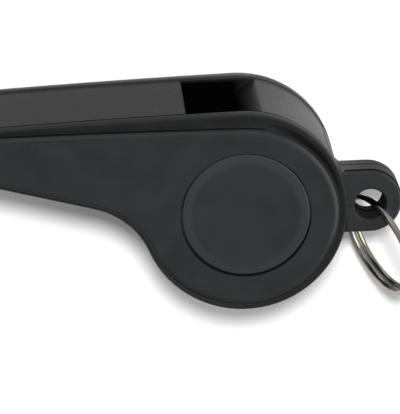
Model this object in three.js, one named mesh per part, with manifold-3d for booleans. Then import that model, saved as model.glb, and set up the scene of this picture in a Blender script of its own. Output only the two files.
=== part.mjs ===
// A moulded whistle lying on its side, with a split ring through its lug.
// Millimetres. The belly axis is Z, the mouthpiece points to -X and the window opens to +Y.
// Shapes are drawn about the mid-plane, and the last lines lift them so that the lower badge faces z = 0.
import * as THREE from "three";
import { mergeVertices } from "three/addons/utils/BufferGeometryUtils.js";
import Module from "manifold-3d";

// Clearances between pieces
const fitGap = 0.3;
const badgeGap = 0.15;
const wireGap = 0.05;
const tongueGap = 0.25;

// Outline seen from the side
const bellyX = -0.1;
const bellyRadius = 12.78;
const bellyStretch = 0.115;
const topSlope = 0.016;
const topBow = 0.00042;
const tipX = -37.5;
const tipHeight = 5.2;
const tipCorner = 1.2;
const throatSlope = -0.275;
const neckRadius = 10;

// Heights from the mid-plane
const coreHalfWidth = 6.8;
const wallTop = 7.6;
const ledgeHeight = 8.05;
const footHeight = 8.15;
const faceHeight = 9.0;

// Ledge between the outline and the raised face, and the rounded edge of that face
const ledgeAtBelly = 0.95;
const ledgeExtraAtTop = 0.87;
const ledgeAtTip = 0.6;
const ledgeAtThroat = 0.45;
const faceEdge = 0.8;
const faceEdgeAtTip = 0.5;
const shoulder = 0.4;

// Core: chamber, windway and window
const coreRecess = 0.15;
const chamberDrop = 0.4;
const chamberWall = 1.38;
const windwayHalfWidth = 5.8;
const windwayAtTip = 2.4;
const windwayAtWindow = 1.4;
const roofAtTip = 0.85;
const roofAtWindow = 1.2;
const windowLeft = -6.95;
const lipX = -0.2;
const lipEdge = 0.15;
const rampSlope = 0.723;

// Covers: chamber recess, locating lip, pegs and the badge seat
const coverRecess = 0.55;
const lipDepth = 0.9;
const lipWall = 0.8;
const lipBreakLeft = -10;
const lipBreakRight = 4;
const pegRadius = 0.8;
const pegLength = 2.2;
const pegPlaces = [
  [-18, 5.2],
  [-30, 6.3],
];
const badgeRadius = 7.9;
const badgeThickness = 0.9;
const badgeProud = 0.15;
const badgeBevel = 0.15;
const badgeRimWidth = 0.5;
const badgeSlopeWidth = 0.75;
const badgeDish = 0.13;

// Tongue and lug carried by each cover
const tongueThickness = 0.7;
const tongueTop = 5.9;
const tongueBottom = -8.9;
const lugReach = 3.42;
const lugY = -1.32;
const lugRadius = 4.1;
const lugHoleRadius = 1.95;
const lugHoleRound = 0.25;
const lugHoleShiftX = 0.07;
const lugHoleShiftY = -0.33;
const lugEdgeRound = 0.35;
const lugRootFillet = 0.5;
const lugRootDepth = 3;
const upperLugThickness = 2.7;
const lowerLugThickness = 1.9;

// Pea
const peaRadius = 4.25;
const peaStart = -120;

// Split ring: its centre from the hole and its axis direction, as it lies in the photograph.
// Angles are degrees along the wire, and 360 is where it passes through the hole.
const wireRadius = 0.42;
const ringRadius = 6.735;
const ringFromHole = new THREE.Vector3(1.677, -6.594, -0.333);
const ringAxis = new THREE.Vector3(-0.8678, -0.2903, 0.4032);
const wireFrom = 55;
const wireTo = 590;
const wireCrossings = [
  [235, 290],
  [378, 415],
];

// Sizes that follow from the ones above
const chamberRadius = bellyRadius - coreRecess - chamberDrop - chamberWall;
const lipY = chamberRadius - chamberDrop + lipEdge;
const lugX = bellyX + bellyRadius + lugReach;
const lugHoleX = lugX + lugHoleShiftX;
const lugHoleY = lugY + lugHoleShiftY;

const wasm = await Module();
wasm.setup();

// Turns a closed three.js geometry into a solid that can be joined and cut.
function solid(geometry) {
  let bare = geometry.index ? geometry.toNonIndexed() : geometry;
  bare = new THREE.BufferGeometry().setAttribute("position", bare.getAttribute("position"));
  const merged = mergeVertices(bare, 1e-4);
  return new wasm.Manifold(
    new wasm.Mesh({
      numProp: 3,
      vertProperties: merged.attributes.position.array,
      triVerts: new Uint32Array(merged.index.array),
    }),
  );
}

// Turns a solid back into a geometry for a mesh.
function geometryOf(body) {
  const mesh = body.getMesh();
  const count = mesh.numVert;
  const positions = new Float32Array(count * 3);
  for (let i = 0; i < count; i++) {
    positions.set(mesh.vertProperties.subarray(i * mesh.numProp, i * mesh.numProp + 3), i * 3);
  }
  const geometry = new THREE.BufferGeometry();
  geometry.setAttribute("position", new THREE.BufferAttribute(positions, 3));
  geometry.setIndex(new THREE.BufferAttribute(mesh.triVerts, 1));
  const flat = geometry.toNonIndexed();
  flat.computeVertexNormals();
  return flat;
}

// A prism on a flat outline between two heights.
function prism(points, low, high) {
  const shape = new THREE.Shape(points.map(([x, y]) => new THREE.Vector2(x, y)));
  const geometry = new THREE.ExtrudeGeometry(shape, {
    depth: high - low,
    bevelEnabled: false,
    curveSegments: 1,
  });
  return solid(geometry.translate(0, 0, low));
}

// A cylinder or cone frustum along Z.
function drum(x, y, lowRadius, highRadius, low, high, sides = 72) {
  const geometry = new THREE.CylinderGeometry(highRadius, lowRadius, high - low, sides);
  geometry.rotateX(Math.PI / 2);
  return solid(geometry.translate(x, y, (low + high) / 2));
}

// A closed skin through a stack of rings that have the same number of points.
function loft(rings) {
  const count = rings[0].length;
  const positions = rings.flat(2);
  const index = [];
  for (let r = 0; r + 1 < rings.length; r++) {
    for (let i = 0; i < count; i++) {
      const j = (i + 1) % count;
      const a = r * count + i;
      const b = r * count + j;
      index.push(a, b, a + count, b, b + count, a + count);
    }
  }
  const cap = (ring) =>
    THREE.ShapeUtils.triangulateShape(
      ring.map(([x, y]) => new THREE.Vector2(x, y)),
      [],
    );
  const last = (rings.length - 1) * count;
  cap(rings[0]).forEach(([a, b, c]) => index.push(a, c, b));
  cap(rings[rings.length - 1]).forEach(([a, b, c]) => index.push(last + a, last + b, last + c));
  const geometry = new THREE.BufferGeometry();
  geometry.setAttribute("position", new THREE.Float32BufferAttribute(positions, 3));
  geometry.setIndex(index);
  return solid(geometry);
}

const mix = (a, b, t) => a + (b - a) * Math.min(1, Math.max(0, t));
const topY = (x) => bellyRadius + bellyStretch + topSlope * x - topBow * x * x;

// The outline runs counter-clockwise: neck, belly, top edge, tip, underside of the mouthpiece.
// Each point carries the width of the ledge and of the rounded face edge there.
function outline() {
  const points = [];
  const put = (x, y, ledge, edge) => points.push({ x, y, ledge, edge });
  const tipTop = topY(tipX);
  const tipBottom = tipTop - tipHeight;

  // Centre of the concave neck: it touches the underside line and the belly.
  const length = Math.hypot(1, throatSlope);
  const nx = -throatSlope / length;
  const ny = 1 / length;
  const base = { x: tipX - neckRadius * nx - bellyX, y: tipBottom - neckRadius * ny };
  const along = { x: 1 / length, y: throatSlope / length };
  const reach = bellyRadius + neckRadius;
  const half = base.x * along.x + base.y * along.y;
  const rest = base.x * base.x + base.y * base.y - reach * reach;
  const travel = -half - Math.sqrt(half * half - rest);
  const neckX = bellyX + base.x + along.x * travel;
  const neckY = base.y + along.y * travel;
  const meetAngle = Math.atan2(neckY, neckX - bellyX);

  // Belly
  const bellySteps = 52;
  for (let i = 0; i <= bellySteps; i++) {
    const angle = mix(meetAngle, Math.PI / 2, i / bellySteps);
    const side = Math.max(0, Math.cos(angle));
    const radius = bellyRadius + bellyStretch * (Math.sin(angle) ** 2 - side ** 2);
    const up = Math.max(0, Math.sin(angle)) ** 1.5;
    const start = mix(ledgeAtThroat, ledgeAtBelly, i / 12);
    const ledge = start + ledgeExtraAtTop * up;
    put(bellyX + radius * Math.cos(angle), radius * Math.sin(angle), ledge, faceEdge);
  }

  // Top edge
  const topSteps = 9;
  for (let i = 1; i <= topSteps; i++) {
    const t = i / topSteps;
    const x = mix(bellyX, tipX + tipCorner, t);
    const ledge = mix(ledgeAtBelly + ledgeExtraAtTop, ledgeAtTip, t);
    put(x, topY(x), ledge, mix(faceEdge, faceEdgeAtTip, t));
  }

  // Tip with rounded corners
  const cornerSteps = 4;
  for (let i = 1; i <= cornerSteps; i++) {
    const a = Math.PI / 2 + (Math.PI / 2) * (i / cornerSteps);
    const cy = topY(tipX + tipCorner) - tipCorner;
    put(tipX + tipCorner + tipCorner * Math.cos(a), cy + tipCorner * Math.sin(a), ledgeAtTip, faceEdgeAtTip);
  }
  const lowAngle = Math.atan2(-ny, -nx);
  const run = tipCorner * Math.tan((Math.PI / 2 + Math.atan(throatSlope)) / 2);
  const cornerY = tipBottom + run;
  const rootX = tipX + tipCorner;
  for (let i = 0; i <= cornerSteps; i++) {
    const a = mix(-Math.PI, lowAngle, i / cornerSteps);
    put(rootX + tipCorner * Math.cos(a), cornerY + tipCorner * Math.sin(a), ledgeAtTip, faceEdgeAtTip);
  }

  // Underside and neck
  const lineEnd = { x: neckX + neckRadius * nx, y: neckY + neckRadius * ny };
  const first = points[points.length - 1];
  const lineSteps = 4;
  for (let i = 1; i <= lineSteps; i++) {
    const t = i / lineSteps;
    const ledge = mix(ledgeAtTip, ledgeAtThroat, t);
    put(mix(first.x, lineEnd.x, t), mix(first.y, lineEnd.y, t), ledge, mix(faceEdgeAtTip, faceEdge, t));
  }
  const neckSteps = 12;
  const neckStart = Math.atan2(ny, nx);
  const neckEnd = Math.atan2(-neckY, bellyX - neckX);
  for (let i = 1; i < neckSteps; i++) {
    const a = mix(neckStart, neckEnd, i / neckSteps);
    put(neckX + neckRadius * Math.cos(a), neckY + neckRadius * Math.sin(a), ledgeAtThroat, faceEdge);
  }
  return points;
}

// Outward direction at each outline point, from its neighbours.
function withNormals(points) {
  return points.map((p, i) => {
    const before = points[(i + points.length - 1) % points.length];
    const after = points[(i + 1) % points.length];
    const dx = after.x - before.x;
    const dy = after.y - before.y;
    const size = Math.hypot(dx, dy);
    return { ...p, nx: dy / size, ny: -dx / size };
  });
}

const side = withNormals(outline());
const ringAt = (height, inset) =>
  side.map((p) => {
    const s = inset(p);
    return [p.x - p.nx * s, p.y - p.ny * s, height];
  });

// Outer form of a cover: side wall, rounded shoulder, ledge, and the raised face with its rounded edge.
function coverSkin() {
  const rings = [ringAt(coreHalfWidth, () => 0)];
  const shoulderSteps = 3;
  const shoulderWidth = (p) => Math.min(shoulder, 0.7 * p.ledge);
  for (let i = 0; i <= shoulderSteps; i++) {
    const a = (Math.PI / 2) * (i / shoulderSteps);
    const height = wallTop + (ledgeHeight - wallTop) * Math.sin(a);
    rings.push(ringAt(height, (p) => shoulderWidth(p) * (1 - Math.cos(a))));
  }
  rings.push(ringAt(ledgeHeight, (p) => p.ledge));
  const edgeSteps = 4;
  for (let i = 0; i <= edgeSteps; i++) {
    const a = (Math.PI / 2) * (i / edgeSteps);
    const height = footHeight + (faceHeight - footHeight) * Math.sin(a);
    rings.push(ringAt(height, (p) => p.ledge + p.edge * (1 - Math.cos(a))));
  }
  return loft(rings);
}

// Plan of one lug half: straight sides, a round end and a small fillet where it leaves the belly.
function lugPlan(inset) {
  const half = lugRadius - inset;
  const rootX = bellyX + bellyRadius - tongueThickness - lugRootFillet;
  const points = [];
  points.push([rootX - lugRootDepth, lugY - half - lugRootFillet]);
  points.push([rootX + lugRootFillet * 1.2, lugY - half - lugRootFillet]);
  points.push([rootX + lugRootFillet * 2.2, lugY - half]);
  const steps = 20;
  for (let i = 0; i <= steps; i++) {
    const a = mix(-Math.PI / 2, Math.PI / 2, i / steps);
    points.push([lugX + half * Math.cos(a), lugY + half * Math.sin(a)]);
  }
  points.push([rootX + lugRootFillet * 2.2, lugY + half]);
  points.push([rootX + lugRootFillet * 1.2, lugY + half + lugRootFillet]);
  points.push([rootX - lugRootDepth, lugY + half + lugRootFillet]);
  return points;
}

const tongueInner = bellyRadius - coreRecess - tongueThickness;
const tongueOuter = bellyRadius - coreRecess;

// Curved strap on the belly wall between two levels of Y.
function strap(inner, outer, low, high, bottomY, top) {
  const ring = drum(bellyX, 0, outer, outer, low, high, 96).subtract(
    drum(bellyX, 0, inner, inner, low - 1, high + 1, 96),
  );
  const far = bellyX + outer * 2;
  const window = prism(
    [
      [bellyX, bottomY],
      [far, bottomY],
      [far, top],
      [bellyX, top],
    ],
    low - 1,
    high + 1,
  );
  return ring.intersect(window);
}

function lugHalf(thickness) {
  const rounding = 3;
  const rings = [lugPlan(0).map(([x, y]) => [x, y, 0])];
  for (let i = 0; i <= rounding; i++) {
    const a = (Math.PI / 2) * (i / rounding);
    const height = thickness - lugEdgeRound * (1 - Math.sin(a));
    rings.push(lugPlan(lugEdgeRound * (1 - Math.cos(a))).map(([x, y]) => [x, y, height]));
  }
  return loft(rings).subtract(drum(bellyX, 0, tongueInner, tongueInner, -1, thickness + 1, 96));
}

// The hole through one lug half, opening out in a rounded edge at the outer face.
function lugHole(thickness) {
  const steps = 4;
  let hole = drum(lugHoleX, lugHoleY, lugHoleRadius, lugHoleRadius, -1, thickness + 1, 48);
  for (let i = 0; i < steps; i++) {
    const a = (Math.PI / 2) * (i / steps);
    const b = (Math.PI / 2) * ((i + 1) / steps);
    const low = lugHoleRadius + lugHoleRound * (1 - Math.cos(a));
    const high = lugHoleRadius + lugHoleRound * (1 - Math.cos(b));
    const from = thickness - lugHoleRound + lugHoleRound * Math.sin(a);
    const to = thickness - lugHoleRound + lugHoleRound * Math.sin(b);
    hole = hole.add(drum(lugHoleX, lugHoleY, low, high, from, to, 48));
  }
  return hole;
}

function cover(lugThickness) {
  const innerFace = coreHalfWidth + coverRecess;
  let body = coverSkin();
  body = body.subtract(
    drum(bellyX, -chamberDrop, chamberRadius, chamberRadius, coreHalfWidth - 1, innerFace),
  );

  // Locating lip inside the chamber bore, left out below the window
  const lipOuter = chamberRadius - fitGap;
  const lipInner = lipOuter - lipWall;
  const lipEnd = coreHalfWidth - lipDepth;
  let lip = drum(bellyX, -chamberDrop, lipOuter, lipOuter, lipEnd, innerFace).subtract(
    drum(bellyX, -chamberDrop, lipInner, lipInner, lipEnd - 1, innerFace + 1),
  );
  lip = lip.subtract(
    prism(
      [
        [lipBreakLeft, 0],
        [lipBreakRight, 0],
        [lipBreakRight, bellyRadius],
        [lipBreakLeft, bellyRadius],
      ],
      lipEnd - 1,
      innerFace,
    ),
  );
  body = body.add(lip);

  for (const [x, y] of pegPlaces) {
    body = body.add(drum(x, y, pegRadius, pegRadius, coreHalfWidth - pegLength, coreHalfWidth + 0.2, 24));
  }
  body = body.add(strap(tongueInner, tongueOuter, 0, coreHalfWidth + 0.2, tongueBottom, tongueTop));
  body = body.add(lugHalf(lugThickness)).subtract(lugHole(lugThickness));

  const seatRadius = badgeRadius + badgeGap;
  const seatFloor = faceHeight + badgeProud - badgeThickness;
  return body.subtract(drum(0, 0, seatRadius, seatRadius, seatFloor, faceHeight + 1, 96));
}

function core() {
  const plan = side.map((p) => [p.x - p.nx * coreRecess, p.y - p.ny * coreRecess]);
  let body = prism(plan, -coreHalfWidth, coreHalfWidth);
  const past = coreHalfWidth + 1;
  body = body.subtract(drum(bellyX, -chamberDrop, chamberRadius, chamberRadius, -past, past));

  // Windway: it narrows from the mouth to the window
  const topAtTip = topY(tipX) - coreRecess - roofAtTip;
  const topAtWindow = topY(windowLeft) - coreRecess - roofAtWindow;
  const floorAtTip = topAtTip - windwayAtTip;
  const floorAtWindow = topAtWindow - windwayAtWindow;
  const slopeTop = (topAtWindow - topAtTip) / (windowLeft - tipX);
  const slopeFloor = (floorAtWindow - floorAtTip) / (windowLeft - tipX);
  const outside = tipX - 1;
  const inside = windowLeft + 1;
  body = body.subtract(
    prism(
      [
        [outside, floorAtTip + slopeFloor * (outside - tipX)],
        [inside, floorAtTip + slopeFloor * (inside - tipX)],
        [inside, topAtTip + slopeTop * (inside - tipX)],
        [outside, topAtTip + slopeTop * (outside - tipX)],
      ],
      -windwayHalfWidth,
      windwayHalfWidth,
    ),
  );

  // Window with the bevelled lip
  const above = bellyRadius + 2;
  body = body.subtract(
    prism(
      [
        [windowLeft, chamberRadius / 2],
        [lipX, chamberRadius / 2],
        [lipX, lipY],
        [lipX + (above - lipY) / rampSlope, above],
        [windowLeft, above],
      ],
      -past,
      past,
    ),
  );

  for (const [x, y] of pegPlaces) {
    const radius = pegRadius + fitGap;
    const depth = coreHalfWidth - pegLength - fitGap;
    body = body.subtract(drum(x, y, radius, radius, depth, past, 24));
    body = body.subtract(drum(x, y, radius, radius, -past, -depth, 24));
  }
  const inner = tongueInner - tongueGap;
  return body.subtract(
    strap(inner, bellyRadius + 1, -past, past, tongueBottom - tongueGap, tongueTop + tongueGap),
  );
}

function badge() {
  const top = faceHeight + badgeProud;
  const rim = badgeRadius - badgeBevel - badgeRimWidth;
  const profile = [
    [0, top - badgeThickness],
    [badgeRadius, top - badgeThickness],
    [badgeRadius, top - badgeBevel],
    [badgeRadius - badgeBevel, top],
    [rim, top],
    [rim - badgeSlopeWidth * 0.5, top - badgeDish * 0.6],
    [rim - badgeSlopeWidth, top - badgeDish],
    [0, top - badgeDish],
  ].map(([r, z]) => new THREE.Vector2(r, z));
  return solid(new THREE.LatheGeometry(profile, 80).rotateX(Math.PI / 2));
}

// The wire's middle line: it crosses from one side of the coil to the other where it runs alone.
class WireLine extends THREE.Curve {
  getPoint(t) {
    const degrees = wireFrom + (wireTo - wireFrom) * t;
    const angle = THREE.MathUtils.degToRad(degrees);
    const half = wireRadius + wireGap / 2;
    let height = -half;
    for (const [start, end] of wireCrossings) {
      height += half * THREE.MathUtils.smoothstep(degrees, start, end);
    }
    return new THREE.Vector3(ringRadius * Math.cos(angle), ringRadius * Math.sin(angle), height);
  }
}

// One wire wound a turn and a half, so that two turns lie side by side over half the ring.
function splitRing() {
  const sides = 12;
  const section = [];
  for (let i = 0; i < sides; i++) {
    const a = (2 * Math.PI * i) / sides;
    section.push(new THREE.Vector2(wireRadius * Math.cos(a), wireRadius * Math.sin(a)));
  }
  const wire = new THREE.ExtrudeGeometry(new THREE.Shape(section), {
    steps: 108,
    extrudePath: new WireLine(),
    bevelEnabled: false,
  });
  return solid(wire);
}

const plastic = () => new THREE.MeshStandardMaterial({ color: 0x1d1f20, roughness: 0.45, metalness: 0 });
const cork = new THREE.MeshStandardMaterial({ color: 0x9a6f45, roughness: 0.9, metalness: 0 });
const nickel = new THREE.MeshStandardMaterial({ color: 0xb9b3a6, roughness: 0.25, metalness: 1 });

const whistle = new THREE.Group();
whistle.position.z = faceHeight + badgeProud - badgeDish;

function place(name, body, material, parent = whistle) {
  const mesh = new THREE.Mesh(geometryOf(body), material);
  mesh.name = name;
  parent.add(mesh);
  return mesh;
}

const flip = (body) => body.mirror([0, 0, 1]);

place("body_core", core(), plastic());
place("upper_cover", cover(upperLugThickness), plastic());
place("lower_cover", flip(cover(lowerLugThickness)), plastic());
place("upper_badge", badge(), plastic());
place("lower_badge", flip(badge()), plastic());

const pea = place("cork_pea", solid(new THREE.IcosahedronGeometry(peaRadius, 4)), cork);
const peaOrbit = chamberRadius - peaRadius - fitGap;
const peaAngle = THREE.MathUtils.degToRad(peaStart);
pea.position.set(
  bellyX + peaOrbit * Math.cos(peaAngle),
  -chamberDrop + peaOrbit * Math.sin(peaAngle),
  -(coreHalfWidth + coverRecess) + peaRadius + fitGap,
);

const ring = place("split_ring", splitRing(), nickel);
ring.position.set(lugHoleX, lugHoleY, 0).add(ringFromHole);
const axis = ringAxis.clone().normalize();
const towardsHole = axis.clone().cross(new THREE.Vector3(0, 0, 1)).normalize();
const across = axis.clone().cross(towardsHole);
ring.quaternion.setFromRotationMatrix(new THREE.Matrix4().makeBasis(towardsHole, across, axis));

export default whistle;
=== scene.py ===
import math

import bmesh
import bpy
from mathutils import Matrix, Vector

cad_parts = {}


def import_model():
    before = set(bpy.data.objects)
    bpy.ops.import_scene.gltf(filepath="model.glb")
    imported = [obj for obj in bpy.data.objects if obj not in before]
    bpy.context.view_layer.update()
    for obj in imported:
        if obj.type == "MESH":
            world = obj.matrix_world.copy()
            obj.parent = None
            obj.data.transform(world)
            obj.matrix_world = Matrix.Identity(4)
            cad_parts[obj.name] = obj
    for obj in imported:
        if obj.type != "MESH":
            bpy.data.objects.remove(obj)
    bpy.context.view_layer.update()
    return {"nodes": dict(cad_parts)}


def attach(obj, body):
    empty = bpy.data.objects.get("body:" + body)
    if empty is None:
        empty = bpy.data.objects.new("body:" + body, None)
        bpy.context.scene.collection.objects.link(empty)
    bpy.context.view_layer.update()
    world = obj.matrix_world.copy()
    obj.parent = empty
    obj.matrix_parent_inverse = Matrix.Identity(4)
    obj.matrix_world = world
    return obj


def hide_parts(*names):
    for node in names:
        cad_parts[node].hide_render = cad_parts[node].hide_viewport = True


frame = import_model()
nodes = frame["nodes"]

# Sizes are in mm, and MM turns them into metres. A level is a height measured from the mid-plane.
MM = 0.001
MID = 9.02  # height of the mid-plane over the origin
BELLY_X = -0.1  # the belly's axis is at (BELLY_X, 0)
LUG_HOLE = (16.17, -1.65)  # the axis of the lug's hole

# ---------------------------------------------------------------- node trees

MIX_FACTOR, MIX_A, MIX_B, MIX_RESULT = 0, 6, 7, 2  # sockets of a Mix node for colours


class Nodes:
    """Shorthand for building one node tree. A value in it is a pair of a node and the name of its output."""

    def __init__(self, owner, shader):
        owner.use_nodes = True
        self.owner = owner
        self.tree = owner.node_tree
        self.shader = self.tree.nodes[shader]

    def add(self, kind, **values):
        node = self.tree.nodes.new(kind)
        for key, value in values.items():
            if key in node.inputs:
                node.inputs[key].default_value = value
            else:
                setattr(node, key, value)
        return node

    def link(self, value, node, socket):
        self.tree.links.new(value[0].outputs[value[1]], node.inputs[socket])

    def split(self, vector):
        node = self.add("ShaderNodeSeparateXYZ")
        self.link(vector, node, "Vector")
        return [(node, axis) for axis in "XYZ"]

    def math(self, operation, a, b=0.0):
        """a and b are values or plain numbers."""
        node = self.add("ShaderNodeMath", operation=operation)
        for slot, value in enumerate((a, b)):
            if isinstance(value, tuple):
                self.link(value, node, slot)
            else:
                node.inputs[slot].default_value = value
        return node, "Value"

    def product(self, first, *others):
        for other in others:
            first = self.math("MULTIPLY", first, other)
        return first

    def largest(self, first, *others):
        for other in others:
            first = self.math("MAXIMUM", first, other)
        return first

    def distance(self, dx, dy):
        return self.math("SQRT", self.math("ADD", self.product(dx, dx), self.product(dy, dy)))

    def dot(self, vector, other):
        node = self.add("ShaderNodeVectorMath", operation="DOT_PRODUCT")
        self.link(vector, node, 0)
        node.inputs[1].default_value = other
        return node, "Value"

    def span(self, value, start, end, low=0.0, high=1.0, smooth=False):
        """Runs from low to high while the value runs from start to end, and stays there outside."""
        node = self.add("ShaderNodeMapRange", interpolation_type="SMOOTHSTEP" if smooth else "LINEAR")
        self.link(value, node, "Value")
        for socket, number in (("From Min", start), ("From Max", end), ("To Min", low), ("To Max", high)):
            node.inputs[socket].default_value = number
        return node, "Result"

    def fade(self, value, limits, low=0.0, high=1.0, smooth=False):
        """The same for a length and its two limits in mm."""
        return self.span(value, limits[0] * MM, limits[1] * MM, low, high, smooth)

    def blend(self, share, colour, target):
        """The colour where share is 0 and the fixed target colour where it is 1."""
        node = self.add("ShaderNodeMix", data_type="RGBA")
        self.link(share, node, MIX_FACTOR)
        self.link(colour, node, MIX_A)
        node.inputs[MIX_B].default_value = (*target, 1)
        return node, MIX_RESULT

    def noise(self, scale, detail):
        texture = self.add("ShaderNodeTexNoise", Scale=scale, Detail=detail)
        self.link((self.add("ShaderNodeTexCoord"), "Object"), texture, "Vector")
        return texture, "Fac"

    def ramp(self, value, stops):
        """Each stop is a place and its colour, or one number for a grey."""
        node = self.add("ShaderNodeValToRGB")
        elements = node.color_ramp.elements
        while len(elements) < len(stops):
            elements.new(0.5)
        for element, (place, colour) in zip(elements, stops):
            element.position = place
            element.color = (*colour, 1.0) if isinstance(colour, tuple) else (colour, colour, colour, 1.0)
        self.link(value, node, "Fac")
        return node, "Color"

    def bump(self, layers):
        """Each layer is a value, its height in mm and its strength."""
        last = None
        for value, height, strength in layers:
            node = self.add("ShaderNodeBump", Strength=strength, Distance=height * MM)
            self.link(value, node, "Height")
            if last:
                self.link((last, "Normal"), node, "Normal")
            last = node
        self.link((last, "Normal"), self.shader, "Normal")


def new_material(name):
    return Nodes(bpy.data.materials.new(name), "Principled BSDF")


# ---------------------------------------------------------------- plastic, with its dark places and lines

CHARCOAL = (0.0223, 0.0231, 0.0240)
SPECULAR = 0.5  # how strongly the plastic mirrors
SMEARS, WAVES, GRAIN = (260.0, 3.0), (160.0, 2.0), (5200.0, 2.0)  # scale and detail of its three noises
SMEAR_COLOUR = [(0.3, 0.9), (0.7, 1.12)]  # stops of the smears, with their share of the plain colour
SMEAR_SHEEN = [(0.25, -0.02), (0.75, 0.03)]  # and with what they add to the roughness
WAVE_HEIGHT = 0.02
DARK_COLOUR, DARK_ROUGHNESS, DARK_SPECULAR, DARK_IOR = 0.001, 0.9, 0.03, 1.0  # colour, roughness, specular level and IOR of the dark places: painted shade, near black and hardly mirroring, and the same dark on the real knit line
DEEP_SHADE_COLOUR = (0.003, 0.003, 0.0032)  # painted shade of the groove on the belly's upper right,
DEEP_TOWARDS, DEEP_FADE = (0.75, 0.66, 0), (9.4, 11.8)  # and the direction and distances over which it comes in
BAND_HIGHLIGHT_COLOUR, BAND_LOW = (0.0315, 0.0332, 0.0358), 0.5  # painted highlight on the slope of the disc's dish, and its share at the low side
BAND_RADIUS, BAND_Y = (6.35, 7.05), (-7.0, 7.0)

# Painted shade in the chamber and the window, where the plastic lies in shade
CHAMBER_Y, CHAMBER_RADIUS, CHAMBER_LEVEL = -0.4, 10.95, 7.45  # the last one is half of its height
WINDOW_X, WINDOW_Y = -7.1, 6.0  # the window's left end, and where it begins above the chamber
BEVEL_X, WALL_Y = (2.75, -0.3), (12.75, 12.2)  # where the painted shade fades in down the bevel and below the top wall

# Painted shade along the parting lines between the covers and the core
TOP_SIDE_Y = (3.5, 6.0)  # the window side, faded in
UPPER_SEAM, UPPER_SEAM_WIDTH = 6.65, 0.17  # level and half width of the painted shade line under the upper cover
UPPER_SEAM_RISE = 0.25  # on the window side, where the rim would hide the line
LOWER_SEAM, LOWER_SEAM_WIDTH = -6.7, 0.12
LOWER_SEAM_THINNING = 0.11  # on the window side
SEAM_DARKNESS = 0.95

LUG_SEAM_X, LUG_SEAM_WIDTH = 12.3, 0.1  # painted shade line between the halves of the lug
KNIT_X, KNIT_Y, KNIT_WIDTH = (13.1, 14.3), -1.72, 0.035  # the short line beside the hole
ROOT_X, ROOT_Y, ROOT_LEVEL, ROOT_WIDTH = 13.12, -1.0, 2.8, 0.05  # painted shade line where the lug meets the belly
# painted shade in the lug's hole, darkest along its parting line
HOLE_RADIUS, HOLE_SEAM_WIDTH, HOLE_DARKNESS = 2.12, 0.22, 0.5
LUG_X, LUG_EDGE_LEVEL, LUG_EDGE_WIDTH, LUG_EDGE_DARKNESS = 12.95, 2.15, 0.32, 0.6  # painted shade line under the lug's edge
SEAT_RADIUS, SEAT_WIDTH, SEAT_LEVEL, SEAT_DARKNESS = 8.09, 0.07, 8.6, 0.6  # painted shade round the edge of the disc's seat
SEAT_Y = (3.0, -4.0)  # where its painted shade, darker on the lower half, fades in


def place_masks(n):
    """Two masks from the place in the model's own frame.

    The first is 1 in the chamber and the window and runs down to 0 up the bevel: painted shade. The second has
    painted shade along the parting lines, between the lug's halves, at its root, under its edge, in the hole of the
    lug and round the disc's seat, and also the knit line beside the hole, a real mark of the moulding.
    """
    px, py, pz = n.split((n.add("ShaderNodeNewGeometry"), "Position"))
    level = n.math("SUBTRACT", pz, MID * MM)
    height = n.math("ABSOLUTE", level)

    def below(value, limit):
        return n.math("LESS_THAN", value, limit * MM)

    def above(value, limit):
        return n.math("GREATER_THAN", value, limit * MM)

    def near(value, middle, reach):
        return below(n.math("ABSOLUTE", n.math("SUBTRACT", value, middle * MM)), reach)

    def from_axis(x, y):
        return n.distance(n.math("SUBTRACT", px, x * MM), n.math("SUBTRACT", py, y * MM))

    # painted shade in the chamber and the window
    chamber = below(from_axis(BELLY_X, CHAMBER_Y), CHAMBER_RADIUS)
    window = n.product(above(px, WINDOW_X), n.fade(px, BEVEL_X), above(py, WINDOW_Y), n.fade(py, WALL_Y))
    depth = n.product(below(height, CHAMBER_LEVEL), n.largest(chamber, window))

    # painted shade along the parting lines of the covers
    top_side = n.fade(py, TOP_SIDE_Y)
    upper_middle = n.math("ADD", UPPER_SEAM * MM, n.product(top_side, UPPER_SEAM_RISE * MM))
    upper_line = below(n.math("ABSOLUTE", n.math("SUBTRACT", level, upper_middle)), UPPER_SEAM_WIDTH)
    lower_width = n.math("SUBTRACT", LOWER_SEAM_WIDTH * MM, n.product(top_side, LOWER_SEAM_THINNING * MM))
    lower_line = n.math("LESS_THAN", n.math("ABSOLUTE", n.math("SUBTRACT", level, LOWER_SEAM * MM)), lower_width)
    cover_line = n.product(n.largest(upper_line, lower_line), SEAM_DARKNESS)

    # painted shade lines on the lug and in its hole; the knit line is a real mark of the moulding
    lug_line = n.product(below(height, LUG_SEAM_WIDTH), above(px, LUG_SEAM_X))
    knit = n.product(near(py, KNIT_Y, KNIT_WIDTH), above(px, KNIT_X[0]), below(px, KNIT_X[1]))
    root = n.product(near(px, ROOT_X, ROOT_WIDTH), below(py, ROOT_Y), below(height, ROOT_LEVEL))
    hole = below(from_axis(*LUG_HOLE), HOLE_RADIUS)
    in_hole = n.product(hole, n.largest(below(height, HOLE_SEAM_WIDTH), HOLE_DARKNESS))
    beside_hole = n.product(n.math("SUBTRACT", 1.0, hole), above(px, LUG_X))
    lug_edge = n.product(near(level, LUG_EDGE_LEVEL, LUG_EDGE_WIDTH), beside_hole, LUG_EDGE_DARKNESS)
    # painted shade round the disc's seat, darker towards its lower half
    seat_ring = near(from_axis(0.0, 0.0), SEAT_RADIUS, SEAT_WIDTH)
    seat_edge = n.product(seat_ring, n.fade(py, SEAT_Y), above(height, SEAT_LEVEL), SEAT_DARKNESS)
    return depth, n.largest(cover_line, lug_line, knit, root, in_hole, lug_edge, seat_edge)


def deep_corner(n):
    """1 on the belly's upper right, where the groove round the raised face is deepest in shade."""
    along = n.dot((n.add("ShaderNodeTexCoord"), "Object"), DEEP_TOWARDS)
    return n.fade(along, DEEP_FADE, smooth=True)


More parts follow.
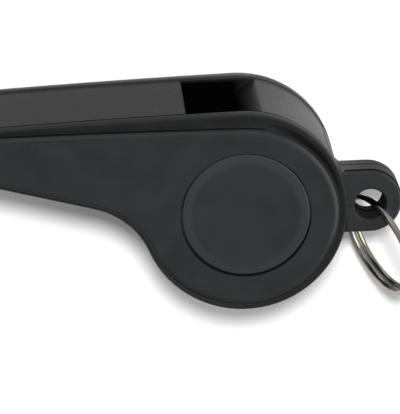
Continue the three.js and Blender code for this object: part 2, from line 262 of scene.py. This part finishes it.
def dish_band_highlight(n):
    """1 on the sloping band round the disc's dish, where a highlight is painted, and less at its low side."""
    x, y, _ = n.split((n.add("ShaderNodeTexCoord"), "Object"))
    return n.product(n.fade(n.distance(x, y), BAND_RADIUS, smooth=True), n.fade(y, BAND_Y, BAND_LOW, 1.0))


def plastic(name, base, rough, grain, ior=1.5, painted_shade_and_knit=False, deep=False, band=False):
    """Charcoal moulded plastic: fine spark-eroded grain, slow waves of the moulding and slightly uneven sheen.

    grain is the height of the fine grain. The last three add the masks of the dark places (painted shade, and the
    real knit line), of the groove's deep corner (painted shade) and of the disc's paler band (a painted highlight).
    """
    n = new_material(name)
    smear = n.noise(*SMEARS)
    colour = n.ramp(smear, [(stop, tuple(c * share for c in base)) for stop, share in SMEAR_COLOUR])
    sheen = n.ramp(smear, [(stop, rough + more) for stop, more in SMEAR_SHEEN])
    n.shader.inputs["IOR"].default_value = ior
    n.shader.inputs["Specular IOR Level"].default_value = SPECULAR
    # painted shade: the dark places go near black and hardly mirror
    if painted_shade_and_knit:
        dark = n.largest(*place_masks(n))
        colour = n.blend(dark, colour, (DARK_COLOUR,) * 3)
        sheen = n.blend(dark, sheen, (DARK_ROUGHNESS,) * 3)
        n.link(n.span(dark, 0.0, 1.0, SPECULAR, DARK_SPECULAR), n.shader, "Specular IOR Level")
        n.link(n.span(dark, 0.0, 1.0, ior, DARK_IOR), n.shader, "IOR")
    # painted shade in the groove's deep corner
    if deep:
        colour = n.blend(deep_corner(n), colour, DEEP_SHADE_COLOUR)
    # painted highlight on the disc's dish band
    if band:
        colour = n.blend(dish_band_highlight(n), colour, BAND_HIGHLIGHT_COLOUR)
    n.link(colour, n.shader, "Base Color")
    n.link(sheen, n.shader, "Roughness")
    n.bump([(n.noise(*WAVES), WAVE_HEIGHT, 1.0), (n.noise(*GRAIN), grain, 1.0)])
    return n.owner


# Darker copies of the plastic, for painted shade
def darker(share):
    return tuple(c * share for c in CHARCOAL)


body_plastic = plastic("charcoal_plastic", CHARCOAL, 0.28, 0.0025, painted_shade_and_knit=True)
rim_plastic = plastic("charcoal_rim", CHARCOAL, 0.34, 0.0025, ior=1.28, painted_shade_and_knit=True)
# painted shade in the rim's groove, on its ledge and at the raised face's foot
groove_shade_plastic = plastic("charcoal_groove_painted_shade", darker(0.6), 0.4, 0.003, ior=1.45, deep=True)
ledge_shade_plastic = plastic("charcoal_ledge_painted_shade", darker(0.6), 0.4, 0.003, ior=1.45)
foot_shade_plastic = plastic("charcoal_foot_painted_shade", darker(0.3), 0.45, 0.003, ior=1.3)
# the discs' plastic, with a painted highlight on the dish band
badge_plastic = plastic("charcoal_badge", CHARCOAL, 0.34, 0.003, band=True)

# ---------------------------------------------------------------- nickel and cork


def nickel():
    """Polished nickel plate with fine drawing lines and a warm cast."""
    n = new_material("nickel_wire")
    haze = n.noise(900.0, 4.0)
    n.link(n.ramp(haze, [(0.3, (0.66, 0.62, 0.51)), (0.7, (0.86, 0.82, 0.71))]), n.shader, "Base Color")
    n.link(n.ramp(haze, [(0.3, 0.06), (0.7, 0.12)]), n.shader, "Roughness")
    n.shader.inputs["Metallic"].default_value = 1.0
    n.bump([(haze, 0.004, 1.0)])
    return n.owner


def cork():
    """Pressed cork: tan grains with dark pores."""
    n = new_material("cork")
    cells = n.add("ShaderNodeTexVoronoi", Scale=1100.0)
    n.link((n.add("ShaderNodeTexCoord"), "Object"), cells, "Vector")
    grain = n.noise(700.0, 4.0)
    tan = [(0.3, (0.20, 0.10, 0.045)), (0.5, (0.42, 0.25, 0.12)), (0.75, (0.56, 0.37, 0.20))]
    n.link(n.ramp(grain, tan), n.shader, "Base Color")
    n.shader.inputs["Roughness"].default_value = 0.9
    pits = n.ramp((cells, "Distance"), [(0.0, 0.0), (0.5, 1.0)])
    n.bump([(pits, 0.12, 0.6), (grain, 0.1, 1.0)])
    return n.owner


# ---------------------------------------------------------------- rigid CAD pieces: edges and finish

FLAT_ANGLE = 0.4  # faces of the solids that meet at less than this, in degrees, are joined
EDGE_WIDTH, EDGE_ANGLE = 0.07, 40  # bevel of the solids' sharp edges, and what counts as sharp in degrees
SKIN_ANGLE = 38  # the same for the scene's own pieces


def set_material(piece, material):
    piece.data.materials.clear()
    piece.data.materials.append(material)
    piece.data.shade_smooth()


def bevel(piece):
    """A fine bevel on the sharp edges, once the flat faces are joined."""
    flat = piece.modifiers.new("flats", "DECIMATE")
    flat.decimate_type = "DISSOLVE"
    flat.angle_limit = math.radians(FLAT_ANGLE)
    edge = piece.modifiers.new("edges", "BEVEL")
    edge.width = EDGE_WIDTH * MM
    edge.segments = 2
    edge.limit_method = "ANGLE"
    edge.angle_limit = math.radians(EDGE_ANGLE)
    edge.harden_normals = True


for name in ("body_core", "upper_cover", "lower_cover"):
    set_material(nodes[name], body_plastic)
    bevel(nodes[name])
set_material(nodes["cork_pea"], cork())

# ---------------------------------------------------------------- pieces of the scene


def mix(a, b, t):
    return a + (b - a) * min(1.0, max(0.0, t))


def smoothstep(value, low, high):
    t = min(1.0, max(0.0, (value - low) / (high - low)))
    return t * t * (3 - 2 * t)


def skin(name, rows, material, closed=False, sharp=True):
    """A mesh skinned through closed rows of points in mm.

    Where it is closed, the last row joins the first. Otherwise both ends are capped.
    """
    mesh = bmesh.new()
    made = [[mesh.verts.new(Vector(point) * MM) for point in row] for row in rows]
    count = len(made[0])
    pairs = list(zip(made, made[1:])) + ([(made[-1], made[0])] if closed else [])
    for a, b in pairs:
        for k in range(count):
            mesh.faces.new((a[k], a[(k + 1) % count], b[(k + 1) % count], b[k]))
    if not closed:
        mesh.faces.new(made[0][::-1])
        mesh.faces.new(made[-1])
    bmesh.ops.recalc_face_normals(mesh, faces=mesh.faces)
    data = bpy.data.meshes.new(name)
    mesh.to_mesh(data)
    mesh.free()
    data.materials.append(material)
    data.shade_smooth()
    if sharp:
        data.set_sharp_from_angle(angle=math.radians(SKIN_ANGLE))
    piece = bpy.data.objects.new(name, data)
    bpy.context.scene.collection.objects.link(piece)
    return piece


# The discs: levels of their foot and of their rim, the radius that rolls over their edge, and the dish in the middle
DISC_RADIUS, DISC_FOOT, DISC_TOP, DISC_ROLL = 7.87, 8.26, 9.15, 0.16
DISC_CHAMFER = (0.07, 0.06)  # width and height of the chamfer at the foot
DISH_RADIUS, DISH_SLOPE, DISH_DEPTH = 7.4, 3.2, 0.13
RIM_RINGS, MIDDLE_RINGS = (7.55, DISH_RADIUS), (3.0, 1.0)  # radii of the mesh's rings on the rim and in the middle
DISC_SHIFT = 0.08  # each disc sits a hair off the middle of its seat
DISC_SIDES = 160


def disc(name, node, side):
    """A bare disc with a rolled edge and a shallow dish. side is 1 for the upper one and -1 for the lower one."""
    width, height = DISC_CHAMFER
    profile = [(DISC_RADIUS - width, DISC_FOOT), (DISC_RADIUS, DISC_FOOT + height)]
    steps = 5
    for i in range(steps + 1):
        a = math.pi / 2 * i / steps
        profile.append((DISC_RADIUS - DISC_ROLL * (1 - math.cos(a)), DISC_TOP - DISC_ROLL * (1 - math.sin(a))))
    profile += [(radius, DISC_TOP) for radius in RIM_RINGS]
    steps = 8
    for i in range(1, steps + 1):
        t = i / steps
        profile.append((DISH_RADIUS - DISH_SLOPE * t, DISC_TOP - DISH_DEPTH * smoothstep(t, 0.0, 1.0)))
    profile += [(radius, DISC_TOP - DISH_DEPTH) for radius in MIDDLE_RINGS]
    turn = [2 * math.pi * k / DISC_SIDES for k in range(DISC_SIDES)]
    rows = []
    for radius, level in profile:
        rows.append([(radius * math.cos(a), DISC_SHIFT + radius * math.sin(a), MID + side * level) for a in turn])
    piece = skin(name, rows, badge_plastic)
    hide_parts(node)
    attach(piece, "whistle_body")


disc("upper_disc", "upper_badge", 1)
disc("lower_disc", "lower_badge", -1)

# The covers' outline, seen from the side, with the sizes of the solids
BELLY, STRETCH = 12.78, 0.115  # radius of the belly, and how much of it is added above and taken off at the right
TOP_TILT, TOP_BOW = 0.016, 0.00042  # of the top wall's slightly curved line
TIP_X, TIP_HEIGHT, CORNER = -37.5, 5.2, 1.2  # the mouth end
SLOPE, NECK = -0.275, 10.0  # the mouthpiece's lower side, and the radius that joins it to the belly
LEDGE_BELOW, LEDGE_SIDE, LEDGE_TOP, LEDGE_MOUTH = 0.45, 0.95, 1.82, 0.6  # widths of the ledge
EDGE, EDGE_MOUTH = 0.8, 0.5  # widths of the raised face's rounded edge


def outline():
    """Points of the covers' outline, once round, as (x, y, ledge width, edge width)."""

    def top_y(x):
        return BELLY + STRETCH + TOP_TILT * x - TOP_BOW * x * x

    # The neck's arc touches the mouthpiece's lower side and the belly. (nx, ny) is that side's normal.
    tip_bottom = top_y(TIP_X) - TIP_HEIGHT
    length = math.hypot(1, SLOPE)
    nx, ny = -SLOPE / length, 1 / length
    bx, by = TIP_X - NECK * nx - BELLY_X, tip_bottom - NECK * ny
    ax, ay = 1 / length, SLOPE / length
    half = bx * ax + by * ay
    rest = bx * bx + by * by - (BELLY + NECK) ** 2
    travel = -half - math.sqrt(half * half - rest)
    neck_x, neck_y = BELLY_X + bx + ax * travel, by + ay * travel

    points = []
    meet = math.atan2(neck_y, neck_x - BELLY_X)
    steps, widening = 52, 12  # the ledge first widens over the second number of steps
    for i in range(steps + 1):  # the belly, from the neck round the right to the top
        angle = mix(meet, math.pi / 2, i / steps)
        c = max(0.0, math.cos(angle))
        radius = BELLY + STRETCH * (math.sin(angle) ** 2 - c * c)
        up = max(0.0, math.sin(angle)) ** 1.5
        ledge = mix(LEDGE_BELOW, LEDGE_SIDE, i / widening) + (LEDGE_TOP - LEDGE_SIDE) * up
        points.append((BELLY_X + radius * math.cos(angle), radius * math.sin(angle), ledge, EDGE))
    steps = 9
    for i in range(1, steps + 1):  # the top wall
        t = i / steps
        x = mix(BELLY_X, TIP_X + CORNER, t)
        points.append((x, top_y(x), mix(LEDGE_TOP, LEDGE_MOUTH, t), mix(EDGE, EDGE_MOUTH, t)))
    steps = 4
    corner_x, corner_y = TIP_X + CORNER, top_y(TIP_X + CORNER) - CORNER
    for i in range(1, steps + 1):  # the mouth's upper corner
        a = math.pi / 2 + math.pi / 2 * i / steps
        points.append((corner_x + CORNER * math.cos(a), corner_y + CORNER * math.sin(a), LEDGE_MOUTH, EDGE_MOUTH))
    corner_y = tip_bottom + CORNER * math.tan((math.pi / 2 + math.atan(SLOPE)) / 2)
    for i in range(steps + 1):  # and its lower corner
        a = mix(-math.pi, math.atan2(-ny, -nx), i / steps)
        points.append((corner_x + CORNER * math.cos(a), corner_y + CORNER * math.sin(a), LEDGE_MOUTH, EDGE_MOUTH))
    first_x, first_y = points[-1][:2]
    end_x, end_y = neck_x + NECK * nx, neck_y + NECK * ny
    for i in range(1, steps + 1):  # the lower side
        t = i / steps
        ledge, edge = mix(LEDGE_MOUTH, LEDGE_BELOW, t), mix(EDGE_MOUTH, EDGE, t)
        points.append((mix(first_x, end_x, t), mix(first_y, end_y, t), ledge, edge))
    start, stop = math.atan2(ny, nx), math.atan2(-neck_y, BELLY_X - neck_x)
    steps = 12
    for i in range(1, steps):  # the neck
        a = mix(start, stop, i / steps)
        points.append((neck_x + NECK * math.cos(a), neck_y + NECK * math.sin(a), LEDGE_BELOW, EDGE))
    return points


# The rim's section, as (place inward from the outline, level). It starts and ends inside the cover.
RIM_PROUD, RIM_ROLL = 0.012, 0.2  # how far the wall stands proud of the cover, and the radius of its rolled top
RIM_WALL = [(0.16, 6.5), (-RIM_PROUD, 6.84), (-RIM_PROUD, 7.2), (-RIM_PROUD, 7.5)]
RIM_LEVEL, LEDGE_NARROW, RIM_RISE = 8.09, 0.3, 0.21  # its top over a ledge so narrow, and its rise with a wider one
LEDGE_SHARES = (0.15, 0.4, 0.7)  # places on the ledge, which falls from the rim to the foot of the raised face
FOOT_LEVEL = 8.068
FACE_LEVEL, FACE_RISE = 8.13, 0.85  # the raised face's edge, which the section follows just inside the solid
SHOULDER_SIDE = ((-30, -5), (50, 75))  # angles round the belly between which the fuller shoulder comes and goes
SHOULDER_MOUTH, SHOULDER_MOUTH_X = 0.7, (1, 9)  # its share along the mouthpiece, and where it comes in, left of 0
RIM_BACK = [(1.0, 0.14, 8.0), (0.3, 0.0, 7.5), (0.0, 0.22, 6.9)]  # share of the ledge's width, what is added, level

# Inner part of the section: place from the foot of the raised face, the level where it only covers the foot (None:
# along the raised face's edge) and the level of the fuller shoulder on the belly's right and along the mouthpiece.
SHOULDER = [
    (-0.12, FOOT_LEVEL, FOOT_LEVEL), (-0.06, 8.09, 8.11), (-0.03, 8.13, 8.22), (0.0, 8.17, 8.45),
    (0.05, None, 8.66), (0.12, None, 8.79), (0.22, None, 8.88), (0.35, None, 8.935), (0.5, None, 8.97),
    (0.65, None, 8.992), (0.8, 8.96, 9.004), (0.84, 8.9, 8.9),
]

# Rows of the section between which the faces have another plastic than the wall: darker copies that paint shade in
# the groove and on the ledge, and the body's glossier plastic on the raised face's edge
RIM_SHADE_AND_FINISH = [(groove_shade_plastic, 12, 16), (ledge_shade_plastic, 10, 12), (body_plastic, 17, 25)]
FOOT_ROWS, FOOT_END = (15, 18), 3.5  # the painted shade line at the raised face's foot on the window side, and its right end


def rim_section(x, y, ledge, edge):
    """The section of a rim at one point of the outline, as (place inward, level)."""
    top = RIM_LEVEL + RIM_RISE * (ledge - LEDGE_NARROW)
    section = list(RIM_WALL)
    steps = 6
    for i in range(steps + 1):
        a = math.pi / 2 * i / steps
        section.append((-RIM_PROUD + RIM_ROLL * (1 - math.cos(a)), top - RIM_ROLL + RIM_ROLL * math.sin(a)))
    for t in LEDGE_SHARES:
        section.append((mix(RIM_ROLL, ledge + SHOULDER[0][0], t), mix(top, FOOT_LEVEL, t)))
    at = math.degrees(math.atan2(y, x - BELLY_X))
    come, go = SHOULDER_SIDE
    full = smoothstep(at, *come) * (1 - smoothstep(at, *go))
    if y > 0:
        full = max(full, SHOULDER_MOUTH * smoothstep(-x, *SHOULDER_MOUTH_X))
    for place, level, shoulder in SHOULDER:
        if level is None:
            level = FACE_LEVEL + FACE_RISE * math.sqrt(1 - ((EDGE - place) / EDGE) ** 2)
        section.append((ledge + place * edge / EDGE, mix(level, shoulder, full)))
    return section + [(share * ledge + more, level) for share, more, level in RIM_BACK]


def cover_rim(name, side, material):
    """The rolled rim of a cover, whose ledge falls away from it to the foot of the raised face."""
    points = outline()
    count = len(points)
    stations = []
    for k, (x, y, ledge, edge) in enumerate(points):
        before, after = points[k - 1], points[(k + 1) % count]
        dx, dy = after[0] - before[0], after[1] - before[1]
        size = math.hypot(dx, dy)
        nx, ny = dy / size, -dx / size
        section = rim_section(x, y, ledge, edge)
        stations.append([(x - nx * inward, y - ny * inward, MID + side * level) for inward, level in section])
    rim = skin(name, list(zip(*stations)), material, closed=True)
    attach(rim, "whistle_body")
    # the darker plastics paint shade in the groove, on the ledge and at the foot
    for finish, _, _ in RIM_SHADE_AND_FINISH:
        rim.data.materials.append(finish)
    rim.data.materials.append(foot_shade_plastic)
    for polygon in rim.data.polygons:
        rows = [corner // count for corner in polygon.vertices]
        x, y = points[polygon.vertices[0] % count][:2]
        if min(rows) >= FOOT_ROWS[0] and max(rows) <= FOOT_ROWS[1] and y > 0 and x < FOOT_END:
            polygon.material_index = len(RIM_SHADE_AND_FINISH) + 1
            continue
        for index, (_, low, high) in enumerate(RIM_SHADE_AND_FINISH, 1):
            if min(rows) >= low and max(rows) <= high:
                polygon.material_index = index


cover_rim("upper_cover_rim", 1, rim_plastic)
cover_rim("lower_cover_rim", -1, body_plastic)

# The split ring, as in the solids: its wire, the step from turn to turn, its middle radius and its axis
WIRE_RADIUS, WIRE_STEP, RING_RADIUS = 0.418, 0.445, 6.735
RING_START, RING_STOP = 55.0, 590.0  # angles of the wire's ends
END_ANGLES, END_BLUNT = (4, 18, 36, 54, 72), 0.06  # rings of a rounded end, and the radius's share left at its tip
CROSSINGS = ((235, 290), (378, 415))  # angles between which the wire steps over, where it runs alone
RING_FROM_HOLE = (1.677, -6.594, -0.333)  # the ring's middle, from the middle of the lug's hole
ring_axis = Vector((-0.8678, -0.2903, 0.4032)).normalized()
to_hole = ring_axis.cross(Vector((0, 0, 1))).normalized()
ring_frame = Matrix((to_hole, ring_axis.cross(to_hole), ring_axis)).transposed().to_4x4()
ring_middle = Vector((*LUG_HOLE, MID)) + Vector(RING_FROM_HOLE)
RING_PLACE = Matrix.Translation(ring_middle) @ ring_frame


def ring_line(degrees):
    """Middle line of the wire: a turn and a half that crosses over where it runs alone."""
    height = -WIRE_STEP
    for low, high in CROSSINGS:
        height += WIRE_STEP * smoothstep(degrees, low, high)
    angle = math.radians(degrees)
    return Vector((RING_RADIUS * math.cos(angle), RING_RADIUS * math.sin(angle), height))


def fine_ring():
    """The split ring as a smooth wire with rounded ends."""
    steps, sides = 360, 28
    end, clear, reach = 0.9, 1.2, 0.2  # degrees: an end's rounding, where the plain wire begins, half a step along
    stations = []  # angle along the wire, and share of its radius
    for a in END_ANGLES:
        share = math.sin(math.radians(a)) * (1 - END_BLUNT) + END_BLUNT
        back = 1 - math.cos(math.radians(a))
        stations.append((RING_START + back * end, share))
        stations.append((RING_STOP - back * end, share))
    for i in range(steps + 1):
        stations.append((RING_START + clear + (RING_STOP - RING_START - 2 * clear) * i / steps, 1.0))
    stations.sort(key=lambda station: station[0])
    rows = []
    for at, share in stations:
        here = ring_line(at)
        along = (ring_line(at + reach) - ring_line(at - reach)).normalized()
        outward = Vector((here.x, here.y, 0)).normalized()
        side = along.cross(outward).normalized()
        outward = side.cross(along)
        row = []
        for k in range(sides):
            a = 2 * math.pi * k / sides
            offset = (outward * math.cos(a) + side * math.sin(a)) * WIRE_RADIUS * share
            row.append(RING_PLACE @ (here + offset))
        rows.append(row)
    wire = skin("split_ring_wire", rows, nickel(), sharp=False)
    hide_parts("split_ring")
    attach(wire, "ring")


fine_ring()

# ---------------------------------------------------------------- floor, light and camera

FLOOR = -0.135  # just under the lower disc's rim
FLOOR_HALF = 1500.0
FLOOR_SEEN = 0.95  # colour of the floor to the camera
FLOOR_BOUNCE = 0.2  # and to light that bounces off it
FLOOR_GLOW = 0.05  # a little light of its own where the camera sees it, so that it is white
# Painted reflection: in glossy rays the floor is brighter from about x 8 to 16 mm and in a strip under the top wall,
# so the whistle's walls mirror more light there
FLOOR_MIRRORED = 0.04  # how far metal and plastic see it on the way from the bounce's colour to the camera's,
MIRRORED_X = (-5, 20)  # which changes along here
MIRRORED_STOPS = [(0.0, FLOOR_MIRRORED), (0.6, 0.37), (0.72, 0.44), (0.88, 0.1)]
STRIP_SHARE = 0.7  # the share in a strip under the top wall,
STRIP_NORMAL, STRIP_EDGE = (-0.03, 1, 0), (13.65, 13.3)  # which fades out along this line
STRIP_Y, STRIP_X = 11, (5, 1)  # and lies beyond STRIP_Y and to the left of STRIP_X

SKY = [(0.0, 0.24), (0.22, 0.28), (0.45, 0.55), (0.7, 0.47), (0.9, 0.28), (1.0, 0.24)]  # its grey by height
SKY_STRENGTH = 0.75
SKY_SHADE = (-0.9, 0.4, 0.25, 1.0)  # from this y to that one, the share of the grey runs from this to that

# The camera was fitted to the disc, the outline and the parting lines. Its place is in metres from the mid-plane.
CAMERA_X, CAMERA_Y, CAMERA_Z = -0.01991, 0.11104, 0.29499
CAMERA_AXES = ((0.9980, -0.0245, 0.0591), (0.0439, 0.9335, -0.3558), (-0.0465, 0.3576, 0.9327))  # right, up, back
LENS, SENSOR = 217.39, 36


def floor():
    half, z = FLOOR_HALF * MM, FLOOR * MM
    mesh = bpy.data.meshes.new("floor")
    corners = [(-half, -half, z), (half, -half, z), (half, half, z), (-half, half, z)]
    mesh.from_pydata(corners, [], [(0, 1, 2, 3)])
    plane = bpy.data.objects.new("floor", mesh)
    bpy.context.scene.collection.objects.link(plane)
    n = new_material("floor_paper")
    n.shader.inputs["Roughness"].default_value = 0.9
    n.shader.inputs["Specular IOR Level"].default_value = 0.0
    path = n.add("ShaderNodeLightPath")
    mirrored = n.largest((path, "Is Glossy Ray"), (path, "Is Transmission Ray"))
    place = (n.add("ShaderNodeNewGeometry"), "Position")
    x, y, _ = n.split(place)
    # painted reflection: where glossy rays see the floor brighter
    share = n.ramp(n.fade(x, MIRRORED_X), MIRRORED_STOPS)
    edge = n.fade(n.dot(place, STRIP_NORMAL), STRIP_EDGE, 0.0, STRIP_SHARE)
    strip = n.product(edge, n.math("GREATER_THAN", y, STRIP_Y * MM), n.fade(x, STRIP_X))
    seen = n.largest((path, "Is Camera Ray"), n.product(mirrored, n.largest(share, strip)))
    n.link(n.ramp(seen, [(0.0, FLOOR_BOUNCE), (1.0, FLOOR_SEEN)]), n.shader, "Base Color")
    n.shader.inputs["Emission Color"].default_value = (1, 1, 1, 1)
    n.link(n.product(seen, FLOOR_GLOW), n.shader, "Emission Strength")
    mesh.materials.append(n.owner)


def world():
    """A grey studio, brightest at about 27 degrees over the horizon and darker on the side of -Y."""
    n = Nodes(bpy.data.worlds.new("studio"), "Background")
    bpy.context.scene.world = n.owner
    _, y, z = n.split((n.add("ShaderNodeTexCoord"), "Generated"))
    shade = n.add("ShaderNodeMix", data_type="RGBA", blend_type="MULTIPLY")
    shade.inputs[MIX_FACTOR].default_value = 1.0
    n.link(n.ramp(z, SKY), shade, MIX_A)
    n.link(n.span(y, *SKY_SHADE), shade, MIX_B)
    n.link((shade, MIX_RESULT), n.shader, "Color")
    n.shader.inputs["Strength"].default_value = SKY_STRENGTH


def lamp(name, place, target, size, power, mirrored=False):
    """A round lamp, in metres and watts. mirrored says whether glossy surfaces show it."""
    data = bpy.data.lights.new(name, "AREA")
    data.shape = "DISK"
    data.size = size
    data.energy = power
    light = bpy.data.objects.new(name, data)
    light.location = place
    light.visible_glossy = mirrored
    light.rotation_euler = (Vector(target) - Vector(place)).to_track_quat("-Z", "Y").to_euler()
    bpy.context.scene.collection.objects.link(light)


def add_camera():
    camera = bpy.data.cameras.new("camera")
    camera.lens = LENS
    camera.sensor_width = SENSOR
    camera.clip_start = 0.01
    camera.clip_end = 10
    view = bpy.data.objects.new("camera", camera)
    turn = Matrix(CAMERA_AXES).transposed().to_4x4()
    view.matrix_world = Matrix.Translation((CAMERA_X, CAMERA_Y, CAMERA_Z + MID * MM)) @ turn
    bpy.context.scene.collection.objects.link(view)
    bpy.context.scene.camera = view


floor()
world()
lamp("key", place=(-0.02, 0.295, 0.575), target=(0, 0, 0), size=0.095, power=3.9)
lamp("side", place=(0.41, -0.07, 0.36), target=(0, 0, 0.01), size=0.6, power=1.1, mirrored=True)
add_camera()
bpy.context.scene.view_settings.view_transform = "Standard"
